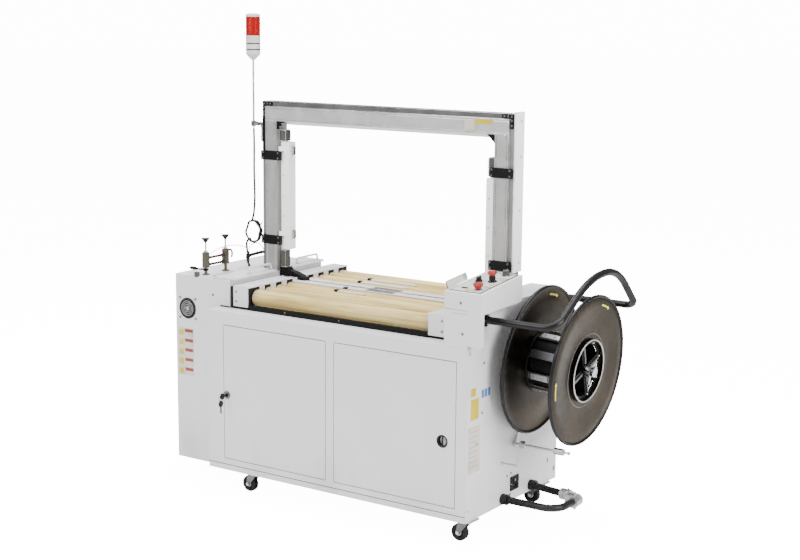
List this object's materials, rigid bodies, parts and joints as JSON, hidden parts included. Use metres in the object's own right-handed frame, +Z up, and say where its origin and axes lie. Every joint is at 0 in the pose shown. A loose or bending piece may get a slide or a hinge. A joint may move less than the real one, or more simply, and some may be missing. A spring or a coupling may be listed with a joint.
{
  "type": "semi automatic strapping machine",
  "caption": "Arch-type strapping machine: white cabinet on casters, powered roller table through a square arch, side strap reel with guard hoop, control box and stack light.",
  "frame": {"origin": "on the floor, under the middle of the arch opening", "axes": "+X along the front towards the strap reel, +Y the way packages travel, +Z up"},
  "size_m": [1.6098, 0.7542, 1.733],
  "materials": {
    "white": "textured powder coat",
    "black": "semi-gloss",
    "alloy": "anodised satin",
    "steel": "zinc plated",
    "tan": "worn matte sleeve",
    "bronze": "semi-gloss stove enamel",
    "red": "gloss",
    "plastic": "satin",
    "rubber": "matte",
    "grey": "hammer paint"
  },
  "bodies": {
    "cabinet": {"base_frame": "black", "tower_shell": "white", "right_shell": "white", "front_frame": "white", "back_panel": "white", "table_frame": "white", "table_plates": "white", "end_covers": "white", "access_covers": "white", "arch_beam": "alloy", "arch_legs": "alloy", "arch_fittings": "black", "arch_covers": "white", "light_post": "white", "light_lens": "red", "feed_clamps": "grey", "control_box": "white", "guard_hoop": "black", "reel_shaft": "steel", "loop_tubes": "black", "strapping_head": "steel", "drive_motor": "grey", "electrical_box": "grey", "caster_plates": "steel", "fan_housing": "plastic", "power_socket": "plastic", "fasteners": "steel"},
    "left_door": {"left_door": "white"},
    "lock_key": {"lock_key": "steel"},
    "right_door": {"right_door": "white"},
    "reel": {"reel_flanges": "bronze", "reel_hub": "steel"},
    "dancer_arm": {"dancer_arm": "steel"},
    "power_rocker": {"power_rocker": "plastic"},
    "fan_rotor": {"fan_rotor": "plastic"},
    "stop_button": {"stop_button": "red"},
    "emergency_stop": {"emergency_stop": "red"},
    "mode_knob": {"mode_knob": "plastic"},
    "timer_knob": {"timer_knob": "plastic"},
    "feed_screw_1": {"feed_screw_1": "plastic"},
    "feed_screw_2": {"feed_screw_2": "plastic"},
    "feed_lever": {"feed_lever": "black"},
    "track_flap": {"track_flap": "white"},
    "cam_shaft": {"cam_shaft": "steel"},
    "roller_1": {"roller_1": "tan"},
    "roller_2": {"roller_2": "tan"},
    "roller_3": {"roller_3": "tan"},
    "roller_4": {"roller_4": "tan"},
    "roller_5": {"roller_5": "tan"},
    "roller_6": {"roller_6": "tan"},
    "roller_7": {"roller_7": "tan"},
    "roller_8": {"roller_8": "tan"},
    "fork_1": {"fork_1": "steel"},
    "wheel_1": {"wheel_1": "rubber"},
    "fork_2": {"fork_2": "steel"},
    "wheel_2": {"wheel_2": "rubber"},
    "fork_3": {"fork_3": "steel"},
    "wheel_3": {"wheel_3": "rubber"},
    "fork_4": {"fork_4": "steel"},
    "wheel_4": {"wheel_4": "rubber"}
  },
  "joints": [
    {"name": "left_door_swing", "type": "hinge", "parent": "cabinet", "child": "left_door", "pos_m": [0.006, -0.37, 0.375], "axis": [0, 0, 1], "range_deg": [0, 85]},
    {"name": "lock_turn", "type": "hinge", "parent": "left_door", "child": "lock_key", "pos_m": [-0.434, -0.376, 0.366], "axis": [0, 1, 0], "range_deg": [-90, 90]},
    {"name": "right_door_swing", "type": "hinge", "parent": "cabinet", "child": "right_door", "pos_m": [0.057, -0.37, 0.375], "axis": [0, 0, 1], "range_deg": [-85, 0]},
    {"name": "roller_1_spin", "type": "hinge", "parent": "cabinet", "child": "roller_1", "pos_m": [0, -0.065, 0.716], "axis": [1, 0, 0], "continuous": true},
    {"name": "roller_2_spin", "type": "hinge", "parent": "cabinet", "child": "roller_2", "pos_m": [0, -0.13, 0.716], "axis": [1, 0, 0], "continuous": true},
    {"name": "roller_3_spin", "type": "hinge", "parent": "cabinet", "child": "roller_3", "pos_m": [0, -0.195, 0.716], "axis": [1, 0, 0], "continuous": true},
    {"name": "roller_4_spin", "type": "hinge", "parent": "cabinet", "child": "roller_4", "pos_m": [0, -0.26, 0.716], "axis": [1, 0, 0], "continuous": true},
    {"name": "roller_5_spin", "type": "hinge", "parent": "cabinet", "child": "roller_5", "pos_m": [0, 0.065, 0.716], "axis": [1, 0, 0], "continuous": true},
    {"name": "roller_6_spin", "type": "hinge", "parent": "cabinet", "child": "roller_6", "pos_m": [0, 0.13, 0.716], "axis": [1, 0, 0], "continuous": true},
    {"name": "roller_7_spin", "type": "hinge", "parent": "cabinet", "child": "roller_7", "pos_m": [0, 0.195, 0.716], "axis": [1, 0, 0], "continuous": true},
    {"name": "roller_8_spin", "type": "hinge", "parent": "cabinet", "child": "roller_8", "pos_m": [0, 0.26, 0.716], "axis": [1, 0, 0], "continuous": true},
    {"name": "fork_1_swivel", "type": "hinge", "parent": "cabinet", "child": "fork_1", "pos_m": [-0.353, -0.323, 0.068], "axis": [0, 0, 1], "continuous": true},
    {"name": "wheel_1_spin", "type": "hinge", "parent": "fork_1", "child": "wheel_1", "pos_m": [-0.371, -0.323, 0.03], "axis": [0, 1, 0], "continuous": true},
    {"name": "fork_2_swivel", "type": "hinge", "parent": "cabinet", "child": "fork_2", "pos_m": [0.558, -0.323, 0.068], "axis": [0, 0, 1], "continuous": true},
    {"name": "wheel_2_spin", "type": "hinge", "parent": "fork_2", "child": "wheel_2", "pos_m": [0.54, -0.323, 0.03], "axis": [0, 1, 0], "continuous": true},
    {"name": "fork_3_swivel", "type": "hinge", "parent": "cabinet", "child": "fork_3", "pos_m": [-0.353, 0.171, 0.068], "axis": [0, 0, 1], "continuous": true},
    {"name": "wheel_3_spin", "type": "hinge", "parent": "fork_3", "child": "wheel_3", "pos_m": [-0.371, 0.171, 0.03], "axis": [0, 1, 0], "continuous": true},
    {"name": "fork_4_swivel", "type": "hinge", "parent": "cabinet", "child": "fork_4", "pos_m": [0.558, 0.171, 0.068], "axis": [0, 0, 1], "continuous": true},
    {"name": "wheel_4_spin", "type": "hinge", "parent": "fork_4", "child": "wheel_4", "pos_m": [0.54, 0.171, 0.03], "axis": [0, 1, 0], "continuous": true},
    {"name": "reel_spin", "type": "hinge", "parent": "cabinet", "child": "reel", "pos_m": [0.656, 0.006, 0.577], "axis": [0.9969, 0, -0.0785], "continuous": true},
    {"name": "dancer_swing", "type": "hinge", "parent": "cabinet", "child": "dancer_arm", "pos_m": [0.6, 0, 0.43], "axis": [1, 0, 0], "range_deg": [-15, 40]},
    {"name": "power_rock", "type": "hinge", "parent": "cabinet", "child": "power_rocker", "pos_m": [0.592, -0.055, 0.15], "axis": [0, 1, 0], "range_deg": [-8, 8]},
    {"name": "fan_spin", "type": "hinge", "parent": "cabinet", "child": "fan_rotor", "pos_m": [-0.682, -0.293, 0.649], "axis": [0, 1, 0], "continuous": true},
    {"name": "stop_press", "type": "slide", "parent": "cabinet", "child": "stop_button", "axis": [0, -0.1047, 0.9945], "range_m": [-0.004, 0], "stiffness_N_per_m": 400},
    {"name": "emergency_press", "type": "slide", "parent": "cabinet", "child": "emergency_stop", "axis": [0, -0.1047, 0.9945], "range_m": [-0.004, 0], "stiffness_N_per_m": 400},
    {"name": "mode_turn", "type": "hinge", "parent": "cabinet", "child": "mode_knob", "pos_m": [0.548, -0.24274, 0.87303], "axis": [0, -0.1047, 0.9945], "range_deg": [-45, 45]},
    {"name": "timer_turn", "type": "hinge", "parent": "cabinet", "child": "timer_knob", "pos_m": [0.593, -0.14229, 0.8836], "axis": [0, -0.1047, 0.9945], "range_deg": [-135, 135]},
    {"name": "feed_screw_1_turn", "type": "hinge", "parent": "cabinet", "child": "feed_screw_1", "pos_m": [-0.629, -0.262, 0.85], "axis": [0, 0, 1], "continuous": true},
    {"name": "feed_screw_2_turn", "type": "hinge", "parent": "cabinet", "child": "feed_screw_2", "pos_m": [-0.629, -0.15, 0.85], "axis": [0, 0, 1], "continuous": true},
    {"name": "feed_lever_swing", "type": "hinge", "parent": "cabinet", "child": "feed_lever", "pos_m": [-0.629, -0.262, 0.795], "axis": [0, 0, 1], "range_deg": [-30, 60]},
    {"name": "track_flap_swing", "type": "hinge", "parent": "cabinet", "child": "track_flap", "pos_m": [-0.459, -0.028, 1.062], "axis": [0, 0, 1], "range_deg": [-90, 0]},
    {"name": "cam_shaft_spin", "type": "hinge", "parent": "cabinet", "child": "cam_shaft", "pos_m": [0, 0, 0.6], "axis": [0, 1, 0], "continuous": true}
  ],
  "couplings": [
    {"joint": "roller_2_spin", "follows": "roller_1_spin", "ratio": 1},
    {"joint": "roller_3_spin", "follows": "roller_1_spin", "ratio": 1},
    {"joint": "roller_4_spin", "follows": "roller_1_spin", "ratio": 1},
    {"joint": "roller_5_spin", "follows": "roller_1_spin", "ratio": 1},
    {"joint": "roller_6_spin", "follows": "roller_1_spin", "ratio": 1},
    {"joint": "roller_7_spin", "follows": "roller_1_spin", "ratio": 1},
    {"joint": "roller_8_spin", "follows": "roller_1_spin", "ratio": 1}
  ]
}
